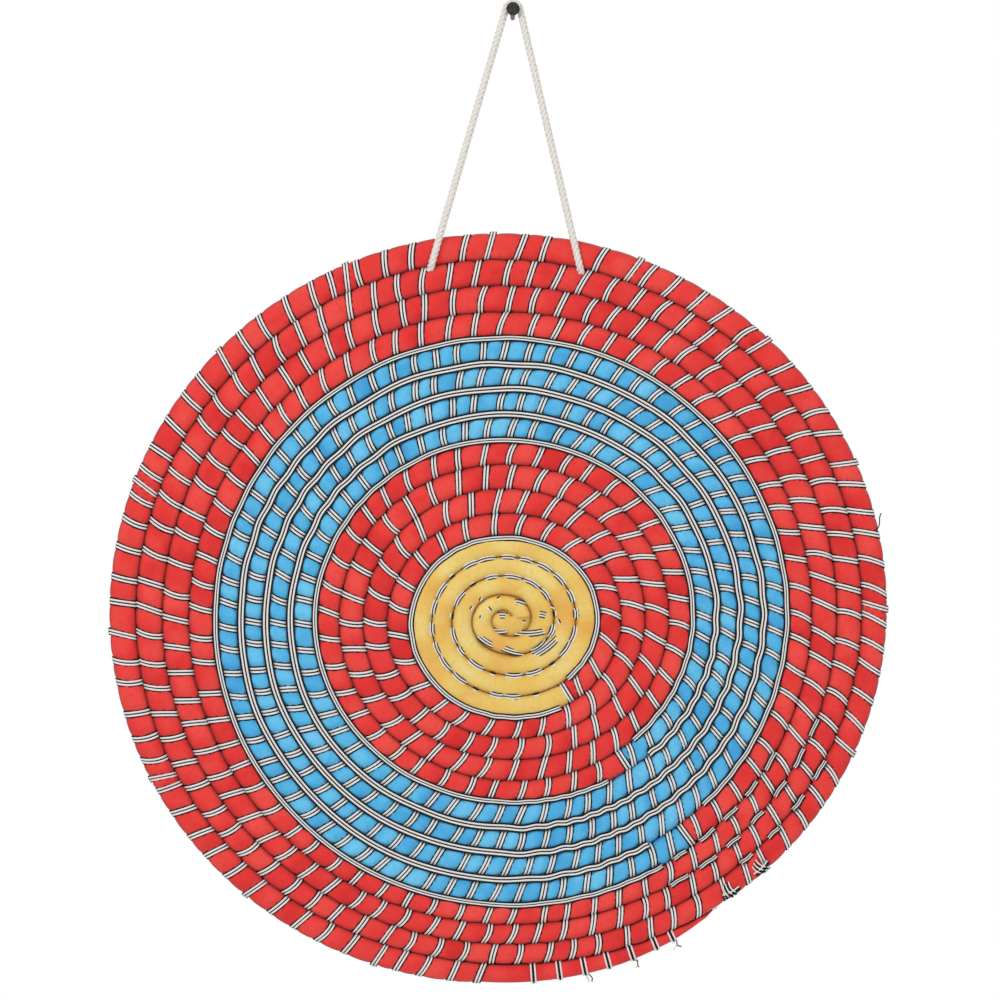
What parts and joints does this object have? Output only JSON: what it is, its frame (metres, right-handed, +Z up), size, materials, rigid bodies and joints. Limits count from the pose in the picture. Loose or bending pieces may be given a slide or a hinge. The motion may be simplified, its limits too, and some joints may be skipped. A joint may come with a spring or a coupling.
{
  "type": "archery target boss",
  "caption": "Round coiled straw archery boss with a cloth-wrapped ring face in red, blue and yellow, cross-stitched, hung by a rope from a wall nail.",
  "frame": {"origin": "on the nail's axis where it leaves the wall", "axes": "+Y into the wall along the nail, +Z up, the face looks along -Y"},
  "size_m": [0.5027, 0.0988, 0.6357],
  "materials": {
    "red_cloth": "matte",
    "blue_cloth": "matte",
    "yellow_cloth": "matte",
    "straw": "matte",
    "twine": "matte",
    "stitch_thread": "matte",
    "dark_thread": "matte",
    "cream_rope": "matte",
    "dark_steel": "satin"
  },
  "bodies": {
    "nail": {"wall_nail": "dark_steel"},
    "rope": {"hanging_rope": "cream_rope"},
    "boss": {"front_straw_core": "straw", "cloth_wrap_yellow": "yellow_cloth", "cloth_wrap_inner_red": "red_cloth", "cloth_wrap_blue": "blue_cloth", "cloth_wrap_outer_red": "red_cloth", "inner_red_cross_stitches": "stitch_thread", "blue_cross_stitches": "stitch_thread", "outer_red_cross_stitches": "stitch_thread", "yellow_crease_stitches": "dark_thread", "blue_crease_thread": "stitch_thread", "zone_edge_thread_yellow": "dark_thread", "zone_edge_thread_inner_red": "dark_thread", "zone_edge_thread_blue": "dark_thread", "rim_ties": "stitch_thread", "tail_binding": "dark_thread", "middle_straw_coil": "straw", "middle_coil_twine": "twine", "back_straw_coil": "straw", "back_coil_twine": "twine", "rope_tail_left": "cream_rope", "rope_tail_right": "cream_rope", "rope_knot_left": "cream_rope", "rope_knot_right": "cream_rope"}
  },
  "joints": [
    {"name": "rope_swing", "type": "hinge", "parent": "nail", "child": "rope", "pos_m": [0, -0.038, 0], "axis": [0, 1, 0], "range_deg": [-20, 20]},
    {"name": "boss_tilt", "type": "hinge", "parent": "rope", "child": "boss", "pos_m": [-0.0528, -0.06416, -0.16771], "axis": [-0.9999, 0, 0.0133], "range_deg": [0, 70]}
  ]
}
